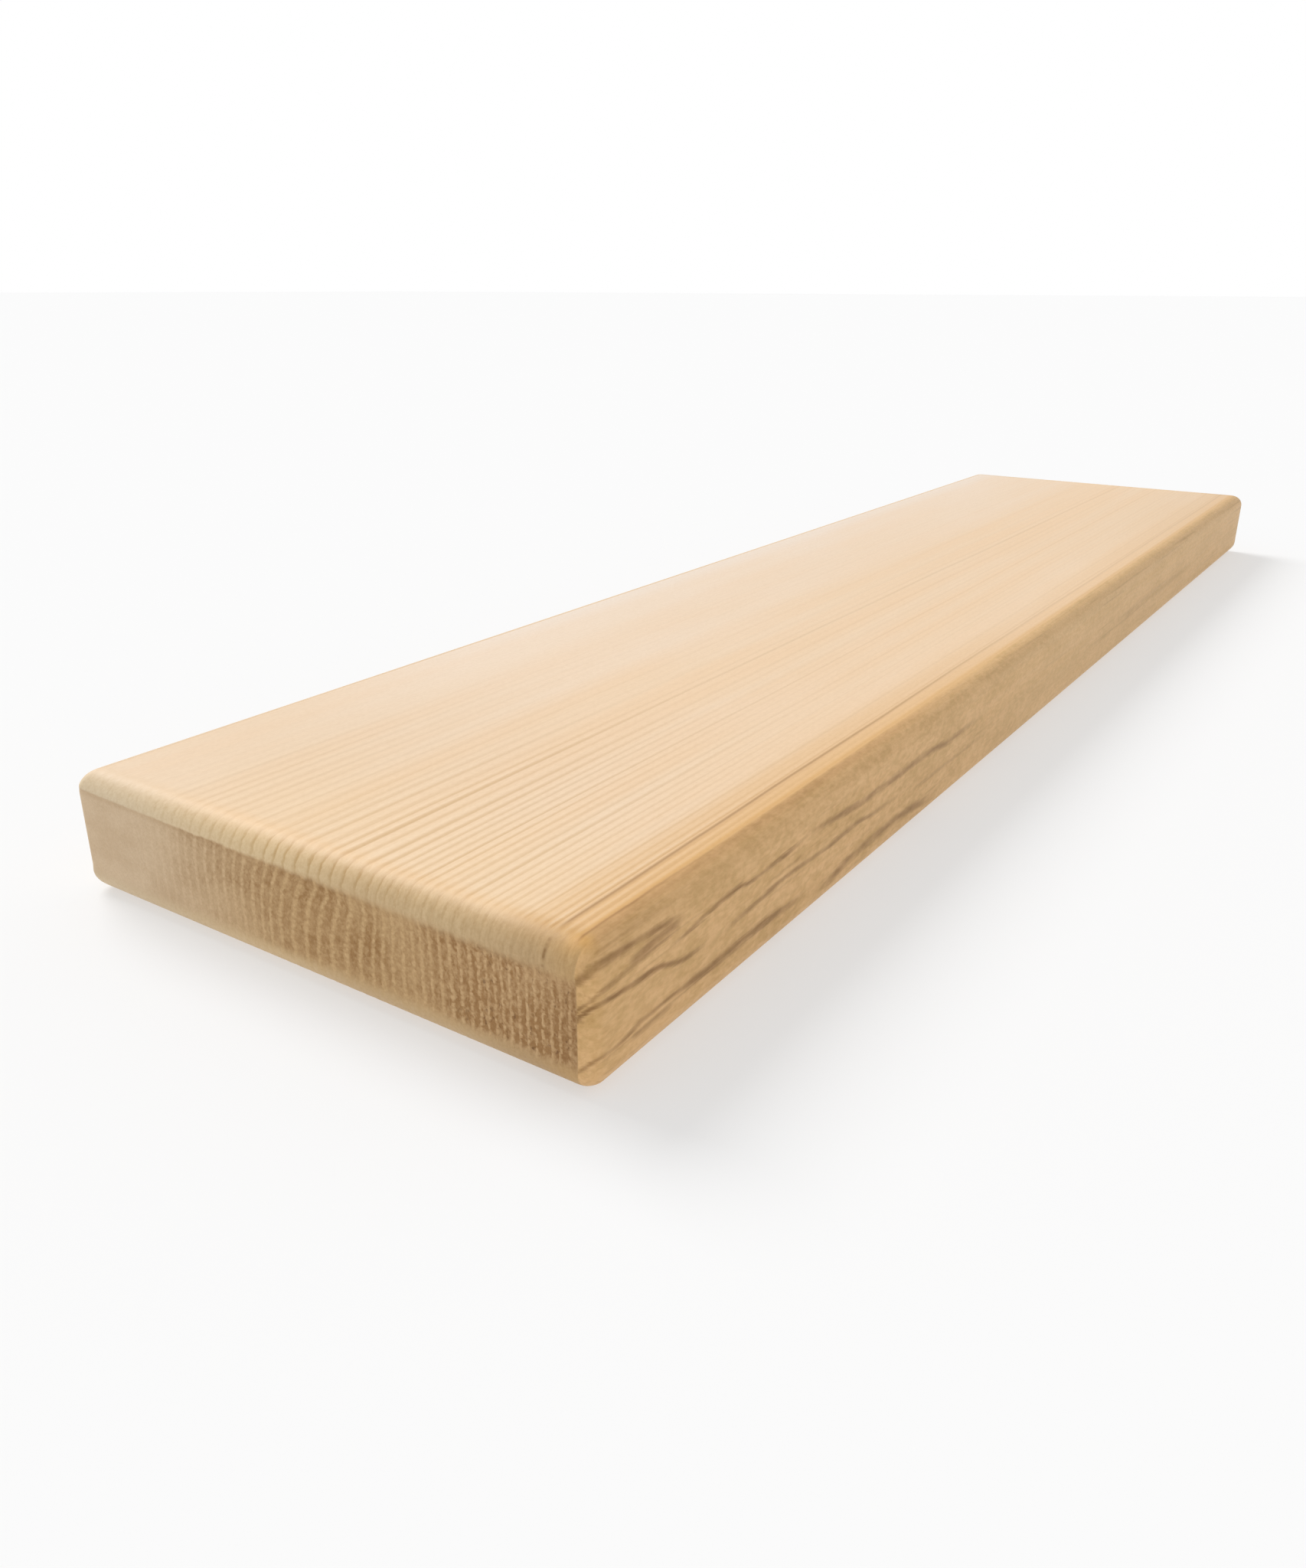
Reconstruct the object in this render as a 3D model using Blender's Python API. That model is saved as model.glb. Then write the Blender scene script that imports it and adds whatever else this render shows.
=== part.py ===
"""Sauna bench board: one solid board of pale cedar with every edge rounded over.

The board lies on its underside, seat face up. Its length runs along X, its front edge faces -Y,
and the origin is at the middle of the underside. Units are metres.
"""

import math

import bmesh
import bpy

BOARD_LENGTH = 0.550
BOARD_WIDTH = 0.140
BOARD_THICKNESS = 0.028

# Radius of the round-over along the long edges and across both ends.
EDGE_RADIUS = 0.005
# Radius of the four upright corners, half way up the board.
UPRIGHT_CORNER_RADIUS = 0.0035
# What is left of that radius where a corner meets the flat seat face or underside.
FACE_CORNER_RADIUS = 0.001

EDGE_STEPS = 8
CORNER_STEPS = 6

WOOD_COLOUR = (0.74, 0.54, 0.35, 1.0)
WOOD_ROUGHNESS = 0.62


def remove_old_objects():
    for old in list(bpy.data.objects):
        bpy.data.objects.remove(old, do_unlink=True)


def wood_material():
    material = bpy.data.materials.new("cedar_wood")
    material.use_nodes = True
    shader = material.node_tree.nodes["Principled BSDF"]
    shader.inputs["Base Color"].default_value = WOOD_COLOUR
    shader.inputs["Roughness"].default_value = WOOD_ROUGHNESS
    shader.inputs["Metallic"].default_value = 0.0
    return material


def plan_outline(inset):
    """Counter-clockwise plan of the board, drawn in by the inset, with its four corners rounded."""
    kept = 1.0 - inset / EDGE_RADIUS
    radius = FACE_CORNER_RADIUS + (UPRIGHT_CORNER_RADIUS - FACE_CORNER_RADIUS) * kept
    centre_x = BOARD_LENGTH / 2 - inset - radius
    centre_y = BOARD_WIDTH / 2 - inset - radius
    points = []
    for corner, (side_x, side_y) in enumerate([(1, 1), (-1, 1), (-1, -1), (1, -1)]):
        for step in range(CORNER_STEPS + 1):
            angle = math.radians(90.0) * (corner + step / CORNER_STEPS)
            x = side_x * centre_x + radius * math.cos(angle)
            y = side_y * centre_y + radius * math.sin(angle)
            points.append((x, y))
    return points


def edge_profile():
    """Inset and height of the board's side, from the underside up to the seat face."""
    quarter = []
    for step in range(EDGE_STEPS + 1):
        angle = math.radians(90.0) * step / EDGE_STEPS
        inset = EDGE_RADIUS * (1.0 - math.sin(angle))
        height = EDGE_RADIUS * (1.0 - math.cos(angle))
        quarter.append((inset, height))
    upper = [(inset, BOARD_THICKNESS - height) for inset, height in reversed(quarter)]
    return quarter + upper


def board_mesh():
    """Stack the plan outlines up the profile, join them with faces and close both flat faces."""
    bm = bmesh.new()
    rings = []
    for inset, height in edge_profile():
        rings.append([bm.verts.new((x, y, height)) for x, y in plan_outline(inset)])
    for lower, upper in zip(rings, rings[1:]):
        for here in range(len(lower)):
            ahead = (here + 1) % len(lower)
            bm.faces.new((lower[here], lower[ahead], upper[ahead], upper[here]))
    bm.faces.new(list(reversed(rings[0])))
    bm.faces.new(rings[-1])
    bmesh.ops.recalc_face_normals(bm, faces=bm.faces)
    mesh = bpy.data.meshes.new("bench_board")
    bm.to_mesh(mesh)
    bm.free()
    mesh.shade_smooth()
    mesh.set_sharp_from_angle(angle=math.radians(40.0))
    return mesh


def build_board():
    mesh = board_mesh()
    mesh.materials.append(wood_material())
    board = bpy.data.objects.new("bench_board", mesh)
    bpy.context.scene.collection.objects.link(board)
    return board


remove_old_objects()
build_board()
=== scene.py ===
import math

import bpy
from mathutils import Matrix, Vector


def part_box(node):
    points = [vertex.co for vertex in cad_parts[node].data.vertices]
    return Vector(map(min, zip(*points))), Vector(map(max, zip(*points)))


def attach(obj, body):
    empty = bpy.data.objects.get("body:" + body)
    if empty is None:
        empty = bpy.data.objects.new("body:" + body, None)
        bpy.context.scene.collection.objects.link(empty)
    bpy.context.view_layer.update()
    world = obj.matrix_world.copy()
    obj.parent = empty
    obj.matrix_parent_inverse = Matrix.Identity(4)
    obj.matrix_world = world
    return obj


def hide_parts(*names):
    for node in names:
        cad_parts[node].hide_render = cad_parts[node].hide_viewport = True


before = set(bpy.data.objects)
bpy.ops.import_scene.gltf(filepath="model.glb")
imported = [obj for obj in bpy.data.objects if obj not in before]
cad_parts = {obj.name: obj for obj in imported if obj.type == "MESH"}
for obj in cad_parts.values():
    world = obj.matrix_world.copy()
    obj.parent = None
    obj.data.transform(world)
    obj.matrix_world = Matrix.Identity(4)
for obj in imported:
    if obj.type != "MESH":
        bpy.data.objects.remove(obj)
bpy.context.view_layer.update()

# The board
# One solid length of pale, straight-grained wood, sawn to length and planed smooth. A cutter
# rounds over its long edges and both ends, and leaves a faint shoulder above the rough sawn ends.

board_low, board_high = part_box("bench_board")
LENGTH, WIDTH, THICKNESS = board_high - board_low
EDGE_RADIUS = 0.005
UPRIGHT_CORNER_RADIUS = 0.0035
FACE_CORNER_RADIUS = 0.001


def open_socket(sockets, key):
    """The socket with that name, or at that place, of those that the node's settings leave open."""
    usable = [socket for socket in sockets if socket.enabled]
    if isinstance(key, int):
        return usable[key]
    return next(socket for socket in usable if socket.name == key)


class Signal:
    """A value in a node tree. Arithmetic on it adds Math nodes."""

    def __init__(self, bench, socket):
        self.bench = bench
        self.socket = socket

    def __add__(self, other):
        return self.bench.maths("ADD", self, other)

    __radd__ = __add__

    def __sub__(self, other):
        return self.bench.maths("SUBTRACT", self, other)

    def __rsub__(self, other):
        return self.bench.maths("SUBTRACT", other, self)

    def __mul__(self, other):
        return self.bench.maths("MULTIPLY", self, other)

    __rmul__ = __mul__

    def __truediv__(self, other):
        return self.bench.maths("DIVIDE", self, other)

    def __abs__(self):
        return self.bench.maths("ABSOLUTE", self)

    def at_least(self, other):
        return self.bench.maths("MAXIMUM", self, other)

    def at_most(self, other):
        return self.bench.maths("MINIMUM", self, other)

    def between(self, low, high):
        return self.at_least(low).at_most(high)

    def bell(self, centre, spread):
        """1 at the centre, falling to nothing past about twice the spread."""
        away = (self - centre) / spread
        return self.bench.maths("EXPONENT", 0 - away * away)

    def fade(self, start, end):
        """Rises smoothly from 0 at start to 1 at end; start may be the larger."""
        settings = {"interpolation_type": "SMOOTHSTEP"}
        values = {"Value": self, "From Min": start, "From Max": end}
        return self.bench.node("ShaderNodeMapRange", settings, values)["Result"]

    def curve(self, *points):
        """Reads a smooth curve through given points, both ways from 0 to 1."""
        return self.bench.node("ShaderNodeFloatCurve", {"curve": points}, {"Value": self})["Value"]


class Made:
    """A node that has been added; its outputs are read by name or place."""

    def __init__(self, bench, node):
        self.bench = bench
        self.node = node

    def __getitem__(self, key):
        return Signal(self.bench, open_socket(self.node.outputs, key))


class Bench:
    """Adds nodes to one tree, for a shader or for geometry."""

    def __init__(self, tree):
        self.tree = tree

    def node(self, kind, settings=None, sockets=None):
        node = self.tree.nodes.new(kind)
        for name, value in (settings or {}).items():
            if name == "curve":
                set_curve(node.mapping, value)
            else:
                setattr(node, name, value)
        for key, value in (sockets or {}).items():
            socket = open_socket(node.inputs, key)
            if isinstance(value, Signal):
                self.tree.links.new(value.socket, socket)
            else:
                socket.default_value = value
        return Made(self, node)

    def maths(self, operation, *values):
        settings = {"operation": operation}
        return self.node("ShaderNodeMath", settings, dict(enumerate(values)))["Value"]

    def vector_maths(self, operation, *values):
        settings = {"operation": operation}
        return self.node("ShaderNodeVectorMath", settings, dict(enumerate(values)))["Vector"]

    def scaled(self, vector, factor):
        settings = {"operation": "SCALE"}
        return self.node("ShaderNodeVectorMath", settings, {0: vector, "Scale": factor})["Vector"]

    def parts(self, vector):
        split = self.node("ShaderNodeSeparateXYZ", None, {"Vector": vector})
        return split["X"], split["Y"], split["Z"]

    def vector(self, x, y, z):
        return self.node("ShaderNodeCombineXYZ", None, {"X": x, "Y": y, "Z": z})["Vector"]

    def noise(self, place, size, shift=0.0, detail=1.0):
        """Smooth noise from 0 to 1 whose lumps have that size along X, Y and Z."""
        scale = tuple(1.0 / length for length in size)
        start = (shift, shift * 1.7, shift * 2.3)
        stretched = self.vector_maths("MULTIPLY_ADD", place, scale, start)
        sockets = {"Vector": stretched, "Scale": 1.0, "Detail": detail, "Roughness": 0.5}
        return self.node("ShaderNodeTexNoise", None, sockets)[0]

    def chance(self, number):
        """A random value from 0 to 1, the same for the same number."""
        settings = {"noise_dimensions": "1D"}
        return self.node("ShaderNodeTexWhiteNoise", settings, {"W": number})["Value"]

    def mix(self, share, first, second, blend="MIX"):
        settings = {"data_type": "RGBA", "blend_type": blend}
        sockets = {"Factor": share, "A": first, "B": second}
        return self.node("ShaderNodeMix", settings, sockets)["Result"]

    def shaded(self, share, colour, shade):
        """The colour multiplied by the shade, as far as the share goes."""
        return self.mix(share, colour, shade, "MULTIPLY")


def set_curve(mapping, points):
    line = mapping.curves[0]
    for _ in range(len(points) - len(line.points)):
        line.points.new(0.5, 0.5)
    for point, place in zip(line.points, points):
        point.location = place
        point.handle_type = "AUTO_CLAMPED"
    mapping.update()


# Growth rings stand upright and run the whole length. They are widest under the middle and back
# of the seat face and close up towards the front edge. Below, places in the wood are in
# millimetres, with Z up from the underside.
MM_PER_METRE = 1000.0
HALF_LENGTH_MM = LENGTH * MM_PER_METRE / 2
WIDTH_MM = WIDTH * MM_PER_METRE
THICKNESS_MM = THICKNESS * MM_PER_METRE
# Noise with lumps as long as this hardly changes along that axis.
BOARD_LONG = 500.0
RING_GAP_WIDE = 3.05
RING_GAP_MIDDLE = 2.25
RING_GAP_CLOSE = 1.8
MIDDLE_RINGS_FROM = -21.0
CLOSE_RINGS_FROM = -44.0
FIRST_RING = 0.34
RING_LEAN = 0.018
# Some rings are broken sideways halfway up the board.
BREAK_AT = -14.0
BREAK_HEIGHT = 16.2


def growth_rings(bench, place):
    """The dark line and the pale line of each ring, its number, and the place across the rings."""
    _, y, z = bench.parts(place)
    arc_top = y.fade(-20.0, 5.0) * 6.0 + 18.0
    arc_foot = y.fade(5.0, 28.0) * 7.0 + 7.5
    span = arc_top - arc_foot
    rise = (z - arc_foot).between(0.0, span)
    lean = (span * span - rise * rise) * y.fade(-34.0, -14.0) * y.fade(56.0, 24.0) * RING_LEAN
    fault = bench.noise(bench.vector(0.0, y, 0.0), (1.0, 9.0, 1.0), shift=2.2) * 4.0 + BREAK_HEIGHT
    kink = y.bell(BREAK_AT, 11.0) * z.fade(fault, fault + 1.2) * z.fade(24.0, 21.0)
    drift = bench.noise(place, (160.0, 34.0, 60.0), shift=3.1) - 0.5
    ripple = bench.noise(place, (70.0, 5.0, 4.0), shift=7.7) - 0.5
    beads = bench.noise(place, (BOARD_LONG, 1.2, 0.9), shift=8.8, detail=3.0) - 0.5
    across = y - lean + kink * 0.25 + drift * 1.8 + ripple * 0.6 + beads
    into_middle = (MIDDLE_RINGS_FROM - across).at_least(0.0)
    into_close = (CLOSE_RINGS_FROM - across).at_least(0.0)
    number = across * (-1 / RING_GAP_WIDE) + FIRST_RING
    number = number + into_middle * (1 / RING_GAP_MIDDLE - 1 / RING_GAP_WIDE)
    number = number + into_close * (1 / RING_GAP_CLOSE - 1 / RING_GAP_MIDDLE)
    unevenness = bench.noise(bench.vector(0.0, across, 0.0), (1.0, 6.0, 1.0), shift=1.3) - 0.5
    number = number + unevenness * 0.6
    whole = bench.maths("FLOOR", number)
    share = number - whole
    dark = share.fade(0.4, 0.8) * share.fade(1.0, 0.84)
    pale = share.fade(0.0, 0.25) * share.fade(0.58, 0.32)
    return dark, pale, whole, across


def seat_ring_strength(bench, whole, across):
    """How plainly each ring shows on the planed faces, from the front edge to the back."""
    band = (across / WIDTH_MM + 0.5).curve(
        (0.0, 0.6), (0.07, 0.7), (0.12, 0.5), (0.18, 0.5), (0.215, 0.7), (0.24, 0.45),
        (0.27, 0.85), (0.31, 0.6), (0.35, 0.75), (0.40, 0.85), (0.46, 0.6), (0.49, 0.7),
        (0.53, 0.5), (0.60, 0.35), (0.68, 0.3), (0.74, 0.4), (0.80, 0.15), (0.90, 0.06),
        (1.0, 0.04))
    return band * (bench.chance(whole) * 0.5 + 0.75)


def rounded_ring_strength(bench, y):
    """How plainly the rings stand out where the cutter rounded the end over."""
    return (y / WIDTH_MM + 0.5).curve(
        (0.0, 0.1), (0.12, 0.18), (0.2, 0.34), (0.28, 0.48), (0.36, 0.78), (0.42, 0.95),
        (0.52, 1.0), (0.6, 0.65), (0.72, 0.4), (0.83, 0.2), (1.0, 0.05))


# The cutter ran a little deeper at the front corner, so its shoulder slopes down towards it.
SHOULDER_HEIGHT = 22.9
SHOULDER_SLOPE = 0.0215
LOWER_SHOULDER_HEIGHT = 4.8


def behind_front_corner(y):
    """1 on what belongs to the ends, 0 on the front edge and the upright corner beside it."""
    return y.fade(-66.8, -66.4)


def below_shoulder(bench, place):
    """Millimetres from the upper shoulder of an end down to a place, and up from the lower one."""
    _, y, z = bench.parts(place)
    ragged = bench.noise(place, (BOARD_LONG, 1.7, BOARD_LONG), shift=5.2, detail=2.0) - 0.5
    ragged = ragged * (y.fade(45.0, 10.0) + 0.2)
    under = y * SHOULDER_SLOPE + ragged + (SHOULDER_HEIGHT - z)
    above = z - LOWER_SHOULDER_HEIGHT + ragged * 1.5
    return under, above


def sawn_end(bench, place):
    """1 on the sawn flat of either end, 0 on all that is planed or rounded."""
    x, y, z = bench.parts(place)
    under, above = below_shoulder(bench, place)
    end_gap = HALF_LENGTH_MM - abs(x)
    softness = y.fade(38.0, -30.0) * 1.3 + 0.4
    upright = under.fade(0 - softness, softness * 0.6) * above.fade(-1.5, 1.5)
    return upright * behind_front_corner(y) * end_gap.fade(3.4, 2.0)


def rounded_end(bench, place):
    """1 where the cutter has rounded over the top or bottom of an end."""
    x, y, _ = bench.parts(place)
    end_gap = HALF_LENGTH_MM - abs(x)
    return end_gap.fade(5.4, 4.6) * behind_front_corner(y)


# The mesh follows the grain: close columns across it, wide ones along it, and close rows where
# the shoulder and the round-overs are.
COLUMNS_ALONG = 64
COLUMNS_ACROSS = 310
ROWS_UP = 52
CORNER_COLUMNS_ALONG = 4
CORNER_COLUMNS_ACROSS = 6
SEAT_RIDGE_DEPTH = 0.02
ROUNDED_RIDGE_DEPTH = 0.03
SAWN_RIDGE_DEPTH = 0.07
SHOULDER_DEPTH = 0.24


def geometry_tree(name, sizes):
    """A new tree with these named lengths as its inputs."""
    tree = bpy.data.node_groups.new(name, "GeometryNodeTree")
    tree.interface.new_socket(name="Geometry", in_out="OUTPUT", socket_type="NodeSocketGeometry")
    for size in sizes:
        tree.interface.new_socket(name=size, in_out="INPUT", socket_type="NodeSocketFloat")
    tree.interface.new_socket(name="Wood", in_out="INPUT", socket_type="NodeSocketMaterial")
    bench = Bench(tree)
    return bench, bench.node("NodeGroupInput")


def board_outline(bench, lattice, given):
    """Carries a place on a cube from -1 to 1 to its place on the rounded board, in metres."""
    along, across, up = bench.parts(lattice)

    rows = abs(up).curve((0.0, 0.0), (0.19, 0.43), (0.65, 0.65), (1.0, 1.0))
    radius = given["Edge Radius"]
    upright_part = given["Thickness"] * 0.5 - radius
    climbed = rows * (upright_part + radius * (math.pi / 2))
    turned = ((climbed - upright_part) / radius).between(0.0, math.pi / 2)
    height = climbed.at_most(upright_part) + radius * bench.maths("SINE", turned)
    inset = radius * (1 - bench.maths("COSINE", turned))
    z = given["Thickness"] * 0.5 + height * bench.maths("SIGN", up)

    drawn_in = inset / radius
    shrinkage = (given["Corner Radius"] - given["Face Corner Radius"]) * drawn_in
    corner = given["Corner Radius"] - shrinkage
    straight_x = given["Length"] * 0.5 - inset - corner
    straight_y = given["Width"] * 0.5 - inset - corner

    half = COLUMNS_ALONG / 2
    straight_columns = half - CORNER_COLUMNS_ALONG
    column = abs(along) * half
    corner_x = (column - straight_columns).at_least(0.0) / CORNER_COLUMNS_ALONG * corner
    core_x = column.at_most(straight_columns) / straight_columns * straight_x

    column = (across * 0.5 + 0.5) * COLUMNS_ACROSS
    last = COLUMNS_ACROSS - CORNER_COLUMNS_ACROSS
    into_back = (column - last).at_least(0.0) / CORNER_COLUMNS_ACROSS
    into_front = (CORNER_COLUMNS_ACROSS - column).at_least(0.0) / CORNER_COLUMNS_ACROSS
    corner_y = (into_back - into_front) * corner
    straight_columns = last - CORNER_COLUMNS_ACROSS
    share = (column - CORNER_COLUMNS_ACROSS).between(0.0, straight_columns) / straight_columns
    share = share.curve((0.0, 0.0), (0.24, 0.18), (0.47, 0.36), (1.0, 1.0))
    core_y = (share * 2 - 1) * straight_y

    longer = corner_x.at_least(abs(corner_y))
    reach = bench.maths("SQRT", corner_x * corner_x + corner_y * corner_y).at_least(1e-7)
    pull = longer / reach
    x = (core_x + corner_x * pull) * bench.maths("SIGN", along)
    y = core_y + corner_y * pull
    return x, y, z, rows * bench.maths("SIGN", up)


def bake_map_place(bench, x, y, climb):
    """Where each face of the board lies on its colour map, the rings kept as sharp as they fit."""
    normal = bench.node("GeometryNodeInputNormal")[0]
    settings = {"data_type": "FLOAT_VECTOR", "domain": "FACE"}
    facing = bench.node("GeometryNodeFieldOnDomain", settings, {0: normal})[0]
    facing_x, facing_y, facing_z = bench.parts(facing)
    along = x / LENGTH + 0.5
    across = y / WIDTH + 0.5
    up = climb * 0.5 + 0.5
    islands = [
        (facing_z, along, across, (0.005, 0.995), (0.005, 0.415)),
        (0 - facing_z, along, across, (0.005, 0.995), (0.425, 0.625)),
        (0 - facing_y, along, up, (0.005, 0.995), (0.635, 0.745)),
        (facing_y, along, up, (0.005, 0.995), (0.755, 0.825)),
        (0 - facing_x, across, up, (0.005, 0.495), (0.835, 0.995)),
        (facing_x, across, up, (0.505, 0.995), (0.835, 0.995)),
    ]
    u = v = 0.0
    for facing_it, share_u, share_v, (left, right), (low, high) in islands:
        here = bench.maths("GREATER_THAN", facing_it, 0.5)
        u = u + here * (share_u * (right - left) + left)
        v = v + here * (share_v * (high - low) + low)
    return bench.vector(u, v, 0.0)


def carved_depth(bench, place):
    """How far the tools and the ring ridges lie below the board's outline, in millimetres."""
    dark, pale, whole, across = growth_rings(bench, place)
    sawn = sawn_end(bench, place)
    under, above = below_shoulder(bench, place)
    x, y, _ = bench.parts(place)
    end_gap = HALF_LENGTH_MM - abs(x)
    softness = y.fade(38.0, -30.0) * 0.9 + 0.5
    between_shoulders = under.fade(0 - softness, softness) * above.fade(-1.6, 1.6)
    shoulder = between_shoulders * end_gap.fade(2.6, 0.8) * SHOULDER_DEPTH
    groove = dark * dark
    seat_ridges = groove * seat_ring_strength(bench, whole, across) * SEAT_RIDGE_DEPTH
    rounded_ridges = groove * rounded_ring_strength(bench, y) * rounded_end(bench, place)
    rounded_ridges = rounded_ridges * ROUNDED_RIDGE_DEPTH
    teeth = (1 - pale) * sawn * SAWN_RIDGE_DEPTH * y.fade(48.0, 20.0)
    return (seat_ridges + rounded_ridges) * (1 - sawn) + teeth + shoulder


SIZES = {
    "Length": LENGTH,
    "Width": WIDTH,
    "Thickness": THICKNESS,
    "Edge Radius": EDGE_RADIUS,
    "Corner Radius": UPRIGHT_CORNER_RADIUS,
    "Face Corner Radius": FACE_CORNER_RADIUS,
}
bench, given = geometry_tree("planed board", SIZES)
sockets = {
    "Size": (2.0, 2.0, 2.0),
    "Vertices X": COLUMNS_ALONG + 1,
    "Vertices Y": COLUMNS_ACROSS + 1,
    "Vertices Z": ROWS_UP + 1,
}
block = bench.node("GeometryNodeMeshCube", None, sockets)["Mesh"]
lattice = bench.node("GeometryNodeInputPosition")[0]
x, y, z, climb = board_outline(bench, lattice, given)
settings = {"data_type": "FLOAT2", "domain": "CORNER"}
sockets = {"Geometry": block, "Name": "OFBake", "Value": bake_map_place(bench, x, y, climb)}
mapped = bench.node("GeometryNodeStoreNamedAttribute", settings, sockets)["Geometry"]
sockets = {"Geometry": mapped, "Position": bench.vector(x, y, z)}
outline = bench.node("GeometryNodeSetPosition", None, sockets)["Geometry"]
smooth = bench.node("GeometryNodeSetShadeSmooth", None, {0: outline})[0]
place = bench.scaled(bench.node("GeometryNodeInputPosition")[0], MM_PER_METRE)
normal = bench.node("GeometryNodeInputNormal")[0]
inwards = bench.scaled(normal, carved_depth(bench, place) * (-1 / MM_PER_METRE))
sockets = {"Geometry": smooth, "Offset": inwards}
carved = bench.node("GeometryNodeSetPosition", None, sockets)["Geometry"]
realized = bench.node("GeometryNodeRealizeInstances", None, {"Geometry": carved})["Geometry"]
sockets = {"Geometry": realized, "Material": given["Wood"]}
finished = bench.node("GeometryNodeSetMaterial", None, sockets)["Geometry"]
bench.node("NodeGroupOutput", None, {"Geometry": finished})

# Colours are linear. Those named as shades are multiplied into the colour beneath them; most are
# the wood's own marks, and some are painted shade or painted highlights, as said where they are
# used.
SEAT_CREAM = (0.82, 0.62, 0.425, 1.0)
SEAT_PEACH = (0.82, 0.595, 0.385, 1.0)
SEAT_PALE = (0.83, 0.70, 0.58, 1.0)
SEAT_HONEY = (0.83, 0.595, 0.345, 1.0)
SEAT_ORANGE = (0.74, 0.465, 0.215, 1.0)
SEAT_PAINTED_HIGHLIGHT = (0.88, 0.71, 0.52, 1.0)
RIM_ORANGE_HIGHLIGHT = (0.67, 0.375, 0.11, 1.0)
RIM_PAINTED_SHADE = (0.72, 0.66, 0.60, 1.0)
DULL_AND_PAINTED_SHADE = (0.90, 0.88, 0.83, 1.0)
RING_AND_GROOVE_SHADE = (0.77, 0.68, 0.52, 1.0)
FIBRE_SHADE = (0.87, 0.82, 0.74, 1.0)
EDGE_GOLD = (0.595, 0.365, 0.14, 1.0)
EDGE_SAND = (0.77, 0.485, 0.225, 1.0)
EDGE_FAR = (0.71, 0.48, 0.235, 1.0)
EDGE_PALE = (0.71, 0.53, 0.34, 1.0)
STREAK_SHADE = (0.46, 0.385, 0.285, 1.0)
DARK_RING_NICK_AND_SHADOW = (0.55, 0.45, 0.32, 1.0)
ROUNDED_BACK = (0.73, 0.59, 0.40, 1.0)
ROUNDED_TAN = (0.74, 0.56, 0.325, 1.0)
ROUNDED_FRONT = (0.56, 0.385, 0.20, 1.0)
ROUNDED_TOP_BACK = (0.725, 0.535, 0.34, 1.0)
ROUNDED_TOP_MIDDLE = (0.80, 0.55, 0.305, 1.0)
ROUNDED_TOP_FRONT = (0.64, 0.385, 0.155, 1.0)
SCRATCH_SHADE = (0.84, 0.81, 0.75, 1.0)
SAWN_PLAIN = (0.68, 0.515, 0.34, 1.0)
SAWN_MIDDLE = (0.625, 0.422, 0.212, 1.0)
SAWN_FRONT = (0.63, 0.42, 0.218, 1.0)
PORE_SHADE = (0.59, 0.485, 0.355, 1.0)
DARKENING_SHADE = (0.80, 0.74, 0.66, 1.0)
SPECK_SHADE = (0.45, 0.38, 0.32, 1.0)

# Dark streaks on the front edge, where it cuts through rings at a low angle: each has the places
# along the board, in millimetres from its near end, and the heights that it runs through, then
# its half width and its strength.
FRONT_STREAKS = [
    ([(-2, 25.5), (4, 25.3), (9, 25.0), (14, 24.8)], 1.0, 0.8),
    ([(6, 25.1), (14, 24.8), (20, 24.2), (27, 23.6)], 0.7, 0.9),
    ([(9, 21.2), (14, 21.8), (18, 22.3), (22, 22.6), (28, 22.7)], 1.1, 0.95),
    ([(-2, 19.9), (4, 20.2), (10, 20.6), (18, 21.2), (28, 21.6)], 0.5, 0.8),
    ([(-2, 18.9), (5, 17.9), (13, 17.1), (19, 16.6), (22, 15.6), (27, 14.4), (37, 14.0)], 0.6, 1.0),
    ([(20, 18.9), (28, 19.2), (35, 20.0), (42, 20.5), (46, 20.5), (51, 19.9), (58, 19.8),
      (80, 20.8)], 0.5, 0.9),
    ([(70, 21.4), (80, 20.4), (90, 19.6), (95, 19.0), (109, 18.6), (137, 18.5), (156, 17.2),
      (183, 17.2)], 0.8, 0.75),
    ([(38, 13.5), (50, 14.0), (57, 14.4), (70, 14.7), (81, 14.1), (100, 14.4), (106, 13.5),
      (127, 12.9)], 0.6, 0.75),
    ([(57, 16.6), (66, 16.7), (75, 17.0)], 0.35, 0.35),
    ([(128, 11.3), (142, 11.3), (156, 11.0), (185, 11.0)], 0.6, 0.4),
    ([(-2, 8.8), (3, 8.0), (8, 7.8), (14, 8.7), (24, 8.8), (34, 8.7)], 0.5, 0.75),
    ([(20, 8.8), (30, 8.4), (42, 8.3), (54, 8.3), (62, 8.1), (68, 7.5), (78, 7.1)], 0.85, 0.85),
    ([(10, 6.5), (14, 6.6), (19, 6.7), (25, 6.9)], 0.6, 0.6),
    ([(76, 5.5), (85, 5.5), (93, 6.6), (105, 6.9), (119, 7.2), (130, 6.5), (141, 5.5),
      (154, 5.3)], 1.0, 0.75),
    ([(310, 12.0), (360, 13.2), (400, 12.6), (450, 12.2)], 1.6, 0.25),
]


def streak(from_end, height, points, half_width, strength):
    """A dark lens-shaped streak along the board, thin at both its ends."""
    first, last = points[0][0], points[-1][0]
    shares = [((place - first) / (last - first), up / THICKNESS_MM) for place, up in points]
    middle = ((from_end - first) / (last - first)).curve(*shares) * THICKNESS_MM
    taper = (last - first) * 0.3
    shown = from_end.fade(last, last - taper)
    if first > 0:
        shown = shown * from_end.fade(first, first + taper * 0.6)
    return (abs(height - middle) / half_width).fade(1.8, 0.1) * shown * strength


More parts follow.
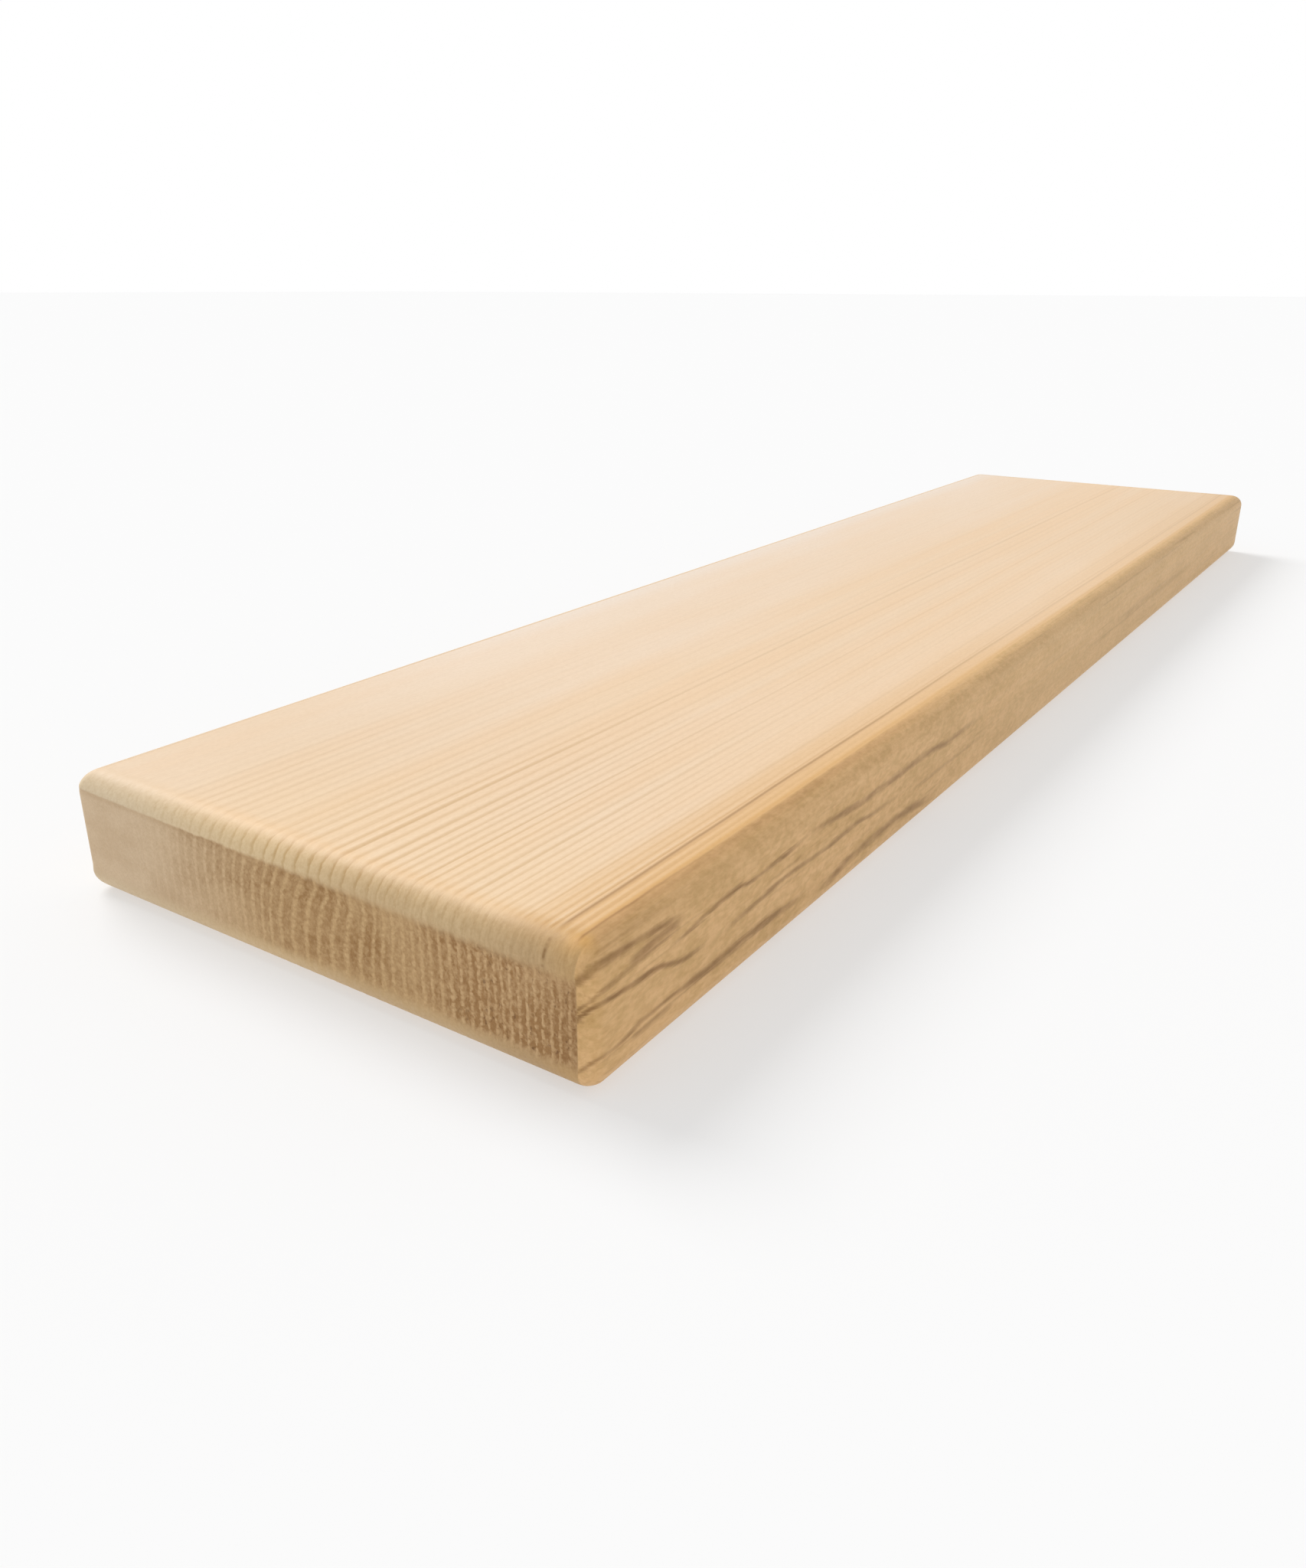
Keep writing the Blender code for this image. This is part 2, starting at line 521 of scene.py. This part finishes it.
material = bpy.data.materials.new("pale cedar")
material.use_nodes = True
bench = Bench(material.node_tree)
shader = material.node_tree.nodes["Principled BSDF"]
object_place = bench.node("ShaderNodeTexCoord")["Object"]
place = bench.scaled(object_place, MM_PER_METRE)
x, y, z = bench.parts(place)
from_end = x + HALF_LENGTH_MM
end_gap = HALF_LENGTH_MM - abs(x)
dark, pale, whole, across = growth_rings(bench, place)
sawn = sawn_end(bench, place)
fibres = bench.noise(place, (4.0, 0.3, 0.3), shift=4.0, detail=2.0)
strands = bench.noise(place, (50.0, 0.8, 0.8), shift=4.7, detail=2.0)

# Seat face and underside
broad = bench.noise(place, (300.0, 8.0, 20.0), shift=2.0, detail=3.0)
clouds = bench.noise(place, (90.0, 30.0, 30.0), shift=9.0, detail=2.0)
colour = bench.mix(broad.fade(0.3, 0.7), SEAT_CREAM, SEAT_PEACH)
paler = y.fade(4.0, 20.0) * 0.3 + y.fade(28.0, 56.0) * 0.2
paler = paler * (from_end.fade(20.0, 120.0) * 0.6 + 0.4)
paler = paler + y.fade(52.0, 65.0) * from_end.fade(60.0, 180.0) * 0.5
paler = paler + clouds.fade(0.45, 0.8) * 0.15
colour = bench.mix(paler, colour, SEAT_PALE)
colour = bench.mix(from_end.fade(60.0, 3.0) * y.fade(60.0, 10.0) * 0.5, colour, SEAT_HONEY)
oranger = y.fade(-50.5, -56.5) * 0.6 + y.fade(-58.0, -62.5) * 0.35
oranger = oranger * (1 - from_end.fade(60.0, 300.0) * 0.65)
colour = bench.mix(oranger, colour, SEAT_ORANGE)
# Painted shade dulls the seat face near the near end, more towards the back, to hold down the light
# there; the front half is also duller towards the far end.
painted_shade_near = from_end.fade(130.0, 10.0) * y.fade(-50.0, 60.0) * 0.9
colour = bench.shaded(painted_shade_near, colour, DULL_AND_PAINTED_SHADE)
duller_far = from_end.fade(300.0, 500.0) * y.fade(-10.0, -60.0) * 0.5
colour = bench.shaded(duller_far, colour, DULL_AND_PAINTED_SHADE)

# Long edges. The seat's colours give way to theirs between these places across the board.
SEAT_ENDS = 64.8
EDGE_BEGINS = 65.4
mottle = bench.noise(place, (22.0, 3.0, 6.0), shift=12.0, detail=3.0)
dapple = bench.noise(place, (3.0, 1.5, 1.3), shift=12.6, detail=3.0)
sandy = mottle.fade(0.36, 0.64) * 0.5 + dapple.fade(0.36, 0.64) * 0.5 + z.fade(23.5, 26.0) * 0.35
sandy = sandy + from_end.fade(40.0, 8.0) * z.fade(16.0, 11.0) * 0.35
edge = bench.mix(sandy, EDGE_GOLD, EDGE_SAND)
edge = bench.mix(from_end.fade(100.0, 260.0) * 0.5, edge, EDGE_FAR)
# Painted shade darkens the top of the long edges' round-overs near the near end, against the light
# that falls on them.
edge = bench.shaded(z.fade(27.0, 27.9) * from_end.fade(200.0, 80.0) * 0.75, edge, RIM_PAINTED_SHADE)
edge = bench.mix(y.fade(0.0, 1.0) * 0.8, edge, EDGE_PALE)
figure = bench.noise(place, (60.0, 1.5, 1.4), shift=11.0, detail=2.0)
edge = bench.shaded(figure.fade(0.58, 0.8) * 0.35, edge, STREAK_SHADE)
wander = (bench.noise(place, (20.0, BOARD_LONG, 3.0), shift=13.0) - 0.5) * 0.8
feather = (bench.noise(place, (9.0, BOARD_LONG, 0.4), shift=14.0, detail=2.0) - 0.5) * 1.2
height = z + (y + WIDTH_MM / 2) * 1.05 + wander + feather
streaks = [streak(from_end, height, *drawn) for drawn in FRONT_STREAKS]
darkest = streaks[0]
for other in streaks[1:]:
    darkest = darkest.at_least(other)
uneven = bench.noise(place, (7.0, BOARD_LONG, 2.0), shift=14.6).fade(0.25, 0.65) * 0.45 + 0.6
edge = bench.shaded(darkest * uneven * y.fade(-SEAT_ENDS, -EDGE_BEGINS), edge, STREAK_SHADE)
colour = bench.mix(abs(y).fade(SEAT_ENDS, EDGE_BEGINS), colour, edge)

# Rounded ends
rounded_low = bench.mix(y.fade(62.0, 5.0), ROUNDED_BACK, ROUNDED_TAN)
towards_front = y.fade(8.0, -18.0) * 0.45 + y.fade(-35.0, -60.0) * 0.55
rounded_low = bench.mix(towards_front, rounded_low, ROUNDED_FRONT)
# The upper part of each rounded end is warmer: its own colour with a painted warm highlight where
# the curve leaves the seat face, deepest by the front corner.
rounded_top = bench.mix(y.fade(60.0, 15.0), ROUNDED_TOP_BACK, ROUNDED_TOP_MIDDLE)
rounded_top = bench.mix(y.fade(-46.0, -59.0), rounded_top, ROUNDED_TOP_FRONT)
rounded_colour = bench.mix(end_gap.fade(4.8, 0.2), rounded_top, rounded_low)
rounded_colour = bench.shaded(z.fade(14.0, 10.0) * 0.45, rounded_colour, DARKENING_SHADE)
rounded_colour = bench.mix(y.fade(-57.0, -66.0) * 0.5, rounded_colour, EDGE_GOLD)
scratches = bench.noise(place, (3.0, 0.6, 3.5), shift=20.0, detail=2.0).fade(0.35, 0.65)
scratched = scratches * y.fade(-12.0, -30.0) * z.fade(20.0, 22.5) * end_gap.fade(4.0, 2.0) * 0.55
rounded_colour = bench.shaded(scratched, rounded_colour, SCRATCH_SHADE)
tinted = end_gap.fade(8.5, 3.2) * behind_front_corner(y)
colour = bench.mix(tinted, colour, rounded_colour)

# Rings on all the planed faces
kept = bench.chance(whole + 40.0).fade(0.3, 0.95)
close_by = from_end.fade(140.0, 0.0)
seat_strength = seat_ring_strength(bench, whole, across) * (close_by * 0.55 + kept * 0.28 + 0.18)
# On the rounded ends the dark ring lines are partly painted shade in the grooves between ring
# ridges, strongest high up the curve.
high_up = z.fade(16.0, 20.0) * 0.4 + z.fade(22.5, 26.5) * 0.5
rounded_strength = rounded_ring_strength(bench, y) * high_up
over_the_end = end_gap.fade(5.5, 1.5)
strength = seat_strength * (1 - over_the_end) + rounded_strength * over_the_end
strength = strength * abs(y).fade(EDGE_BEGINS, SEAT_ENDS)
lines = dark * (1 - over_the_end) + dark * dark * dark * over_the_end
colour = bench.shaded((lines * strength).at_most(1.0), colour, RING_AND_GROOVE_SHADE)
# Painted highlight: near the near end the pale part of each ring on the seat face is brightened.
painted_ring_highlight = (pale * strength * close_by * (1 - over_the_end) * 0.4).at_most(1.0)
colour = bench.mix(painted_ring_highlight, colour, SEAT_PAINTED_HIGHLIGHT)

# The last ring before the front edge is the darkest. Along the front rim there is a thin painted
# shadow line near the near end and an orange painted highlight, with a painted highlight on the
# front corner of each rounded end and a small nick on the rounded end by each front corner.
LAST_RING_AT = -60.1
wandering = bench.noise(place, (60.0, 200.0, 200.0), shift=6.0) - 0.5
dark_ring = (y + wandering).bell(LAST_RING_AT, 0.4) * from_end.fade(3.5, 8.0)
dark_ring = dark_ring * (0.85 - from_end.fade(60.0, 260.0) * 0.62)
ragged_rim = (bench.noise(place, (14.0, 200.0, 200.0), shift=6.6, detail=2.0) - 0.5) * 1.1
# Painted shadow: a thin dark line along the front rim near the near end, where the seat turns down.
painted_rim_shadow = (y + ragged_rim).bell(-65.1, 0.3) * from_end.fade(52.0, 12.0)
painted_rim_shadow = painted_rim_shadow * from_end.fade(2.0, 5.0) * 0.8
broken = bench.noise(place, (BOARD_LONG, BOARD_LONG, 1.1), shift=6.9).fade(0.35, 0.6)
nick = y.bell(LAST_RING_AT, 0.35) * z.fade(27.4, 26.6) * z.fade(21.6, 22.8)
nick = nick * end_gap.fade(5.0, 4.0) * broken * 0.9
# Painted highlights: an orange line along the top of the front rim, and an orange patch on the
# upper front corner of each rounded end.
painted_rim_highlight = (y + ragged_rim * 0.3).bell(-64.5, 0.8) * z.fade(26.8, 27.5) * 0.5
painted_corner_highlight = y.bell(-65.0, 2.4) * end_gap.bell(3.6, 1.7) * z.fade(25.0, 26.4) * 0.9
colour = bench.mix(painted_rim_highlight.at_least(painted_corner_highlight), colour, RIM_ORANGE_HIGHLIGHT)
colour = bench.shaded(dark_ring.at_least(painted_rim_shadow).at_least(nick), colour, DARK_RING_NICK_AND_SHADOW)

# Fine grain everywhere, plainer on the edges and ends
dust = bench.noise(place, (1.1, 0.7, 0.7), shift=19.0, detail=2.0).fade(0.3, 0.75)
grain = fibres.fade(0.3, 0.75) * 0.3 + strands.fade(0.35, 0.8) * 0.2 + dust * 0.5
grain = grain * (abs(y).fade(64.5, 66.0).at_least(over_the_end) * 0.5 + 0.5)
colour = bench.shaded(grain, colour, FIBRE_SHADE)

# Sawn ends
along_rings = bench.vector(x, across, z)
cells = bench.noise(along_rings, (BOARD_LONG, 0.8, 1.1), shift=15.0, detail=2.0).fade(0.25, 0.75)
breaks = bench.noise(along_rings, (BOARD_LONG, 1.8, 0.9), shift=15.6, detail=2.0).fade(0.3, 0.62)
gapped = y.fade(-30.0, -50.0) * 0.25 + 0.65
breaks = breaks * gapped + (1 - gapped)
grit = bench.noise(place, (BOARD_LONG, 0.5, 0.5), shift=17.0, detail=2.0).fade(0.3, 0.7)
patches = bench.noise(place, (BOARD_LONG, 12.0, 7.0), shift=16.2, detail=2.0)
contrast = (y / WIDTH_MM + 0.5).curve(
    (0.0, 0.75), (0.1, 0.8), (0.19, 0.8), (0.24, 0.6), (0.31, 0.55), (0.36, 0.95), (0.5, 0.95),
    (0.62, 0.75), (0.72, 0.5), (0.8, 0.2), (0.9, 0.04), (1.0, 0.0))
plainer = y.bell(22.0, 15.0) * z.fade(17.0, 9.0) * 0.5
contrast = contrast * (z.fade(3.5, 7.0) * 0.75 + 0.25) * (patches * 1.4 + 0.15) * (1 - plainer)
sawn_colour = bench.mix(y.fade(55.0, -5.0), SAWN_PLAIN, SAWN_MIDDLE)
sawn_colour = bench.mix(y.fade(-20.0, -55.0), sawn_colour, SAWN_FRONT)
soiled = patches.fade(0.35, 0.65) * y.fade(20.0, 45.0) * 0.35
sawn_colour = bench.shaded(soiled, sawn_colour, DARKENING_SHADE)
pores = (1 - pale * breaks) * contrast * (cells * (y.fade(-20.0, -50.0) * 0.7 + 0.7) + 0.5)
sawn_colour = bench.shaded(pores.at_most(1.0), sawn_colour, PORE_SHADE)
specks = bench.noise(along_rings, (BOARD_LONG, 0.8, 1.0), shift=18.0).fade(0.6, 0.78)
specks = specks * (1 - pale) * y.fade(-30.0, -50.0)
sawn_colour = bench.shaded(specks * 0.8, sawn_colour, SPECK_SHADE)
gritty = grit * (y.fade(60.0, 0.0) * 0.4 + 0.25)
sawn_colour = bench.shaded(gritty, sawn_colour, DARKENING_SHADE)
under, above = below_shoulder(bench, place)
# Painted shadow just under the upper shoulder of the sawn end; the sawn end is also made darker
# towards its front corner.
shoulder_shadow_and_corner = (under.fade(1.6, 0.0) * 0.5).at_least(y.fade(-58.0, -66.0) * 0.5)
sawn_colour = bench.shaded(shoulder_shadow_and_corner, sawn_colour, DARKENING_SHADE)
colour = bench.mix(sawn, colour, sawn_colour)

# The finish
PLANED_ROUGHNESS = 0.56
SAWN_ROUGHNESS = 0.81
GRAIN_DEPTH = 0.0004
roughness = PLANED_ROUGHNESS + sawn * (SAWN_ROUGHNESS - PLANED_ROUGHNESS) - dark * 0.05
relief = fibres * 0.12 * (1 - sawn) + (cells * 0.2 + grit * 0.2) * sawn
sockets = {"Strength": 0.6, "Distance": GRAIN_DEPTH, "Height": relief}
bump = bench.node("ShaderNodeBump", None, sockets)
bench.tree.links.new(colour.socket, shader.inputs["Base Color"])
bench.tree.links.new(roughness.socket, shader.inputs["Roughness"])
bench.tree.links.new(bump["Normal"].socket, shader.inputs["Normal"])
shader.inputs["Specular IOR Level"].default_value = 0.35

blank = bpy.data.objects.new("board blank", bpy.data.meshes.new("board blank"))
bpy.context.scene.collection.objects.link(blank)
planing = blank.modifiers.new("planed board", "NODES")
planing.node_group = bpy.data.node_groups["planed board"]
for item in planing.node_group.interface.items_tree:
    if item.in_out == "INPUT":
        planing[item.identifier] = material if item.name == "Wood" else float(SIZES[item.name])
bpy.context.view_layer.update()
evaluated = blank.evaluated_get(bpy.context.evaluated_depsgraph_get())
board = bpy.data.objects.new("planed_cedar_board", bpy.data.meshes.new_from_object(evaluated))
bpy.context.scene.collection.objects.link(board)
bpy.data.objects.remove(blank)
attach(board, "root")
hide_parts("bench_board")

# The floor
# A wide pale studio floor under the board, matt and without a seam. It glows a little, so it
# looks nearly white and still takes the board's soft shadow.

FLOOR_SIZE = 40.0
FLOOR_DROP = 0.0002
FLOOR_GREY = (0.42, 0.42, 0.42, 1.0)
FLOOR_GLOW = 0.5
WHITE = (1.0, 1.0, 1.0, 1.0)
floor_mesh = bpy.data.meshes.new("studio_floor")
reach = FLOOR_SIZE / 2
corners = [(-reach, -reach, 0.0), (reach, -reach, 0.0), (reach, reach, 0.0), (-reach, reach, 0.0)]
floor_mesh.from_pydata(corners, [], [(0, 1, 2, 3)])
floor = bpy.data.objects.new("studio_floor", floor_mesh)
floor.location.z = board_low.z - FLOOR_DROP
bpy.context.scene.collection.objects.link(floor)
floor_paint = bpy.data.materials.new("pale studio floor")
floor_paint.use_nodes = True
floor_shader = floor_paint.node_tree.nodes["Principled BSDF"]
floor_shader.inputs["Base Color"].default_value = FLOOR_GREY
floor_shader.inputs["Roughness"].default_value = 0.9
floor_shader.inputs["Specular IOR Level"].default_value = 0.0
floor_shader.inputs["Emission Color"].default_value = WHITE
floor_shader.inputs["Emission Strength"].default_value = FLOOR_GLOW
floor_mesh.materials.append(floor_paint)

# The light
# A white sky, brightest at the horizon, and one broad soft lamp behind the board's back edge. The
# lamp lights the seat face and leaves the sawn end and the front edge in a mild shade.

SKY_DIMMING = 0.42
LAMP_SPREAD = 32.0
LAMP_STRENGTH = 2.3
LAMP_TURN = (-48.0, 0.0, -14.0)
world = bpy.data.worlds.new("white studio")
world.use_nodes = True
bpy.context.scene.world = world
bench = Bench(world.node_tree)
background = world.node_tree.nodes["Background"]
background.inputs["Color"].default_value = WHITE
direction = bench.node("ShaderNodeTexCoord")["Generated"]
elevation = bench.parts(direction)[2]
sky = 1.0 - elevation.fade(0.2, 0.42) * SKY_DIMMING
bench.tree.links.new(sky.socket, background.inputs["Strength"])

lamp_data = bpy.data.lights.new("soft lamp", "SUN")
lamp_data.angle = math.radians(LAMP_SPREAD)
lamp_data.energy = LAMP_STRENGTH
lamp = bpy.data.objects.new("soft lamp", lamp_data)
lamp.rotation_euler = [math.radians(angle) for angle in LAMP_TURN]
bpy.context.scene.collection.objects.link(lamp)

# The camera
# It stands low and close at the near end, and looks along the board from its front corner. Its
# place, turn and lens were fitted to the board's outline.

CAMERA_PLACE = (-0.4076, -0.1704, 0.1248)
CAMERA_TURN = (67.8, -0.12, -56.12)
CAMERA_LENS = 28.04
camera_data = bpy.data.cameras.new("camera")
camera_data.sensor_width = 36.0
camera_data.lens = CAMERA_LENS
camera_data.clip_start = 0.01
camera_data.clip_end = 100.0
camera = bpy.data.objects.new("camera", camera_data)
camera.location = CAMERA_PLACE
camera.rotation_euler = [math.radians(angle) for angle in CAMERA_TURN]
bpy.context.scene.collection.objects.link(camera)
bpy.context.scene.camera = camera
bpy.context.scene.view_settings.view_transform = "Standard"
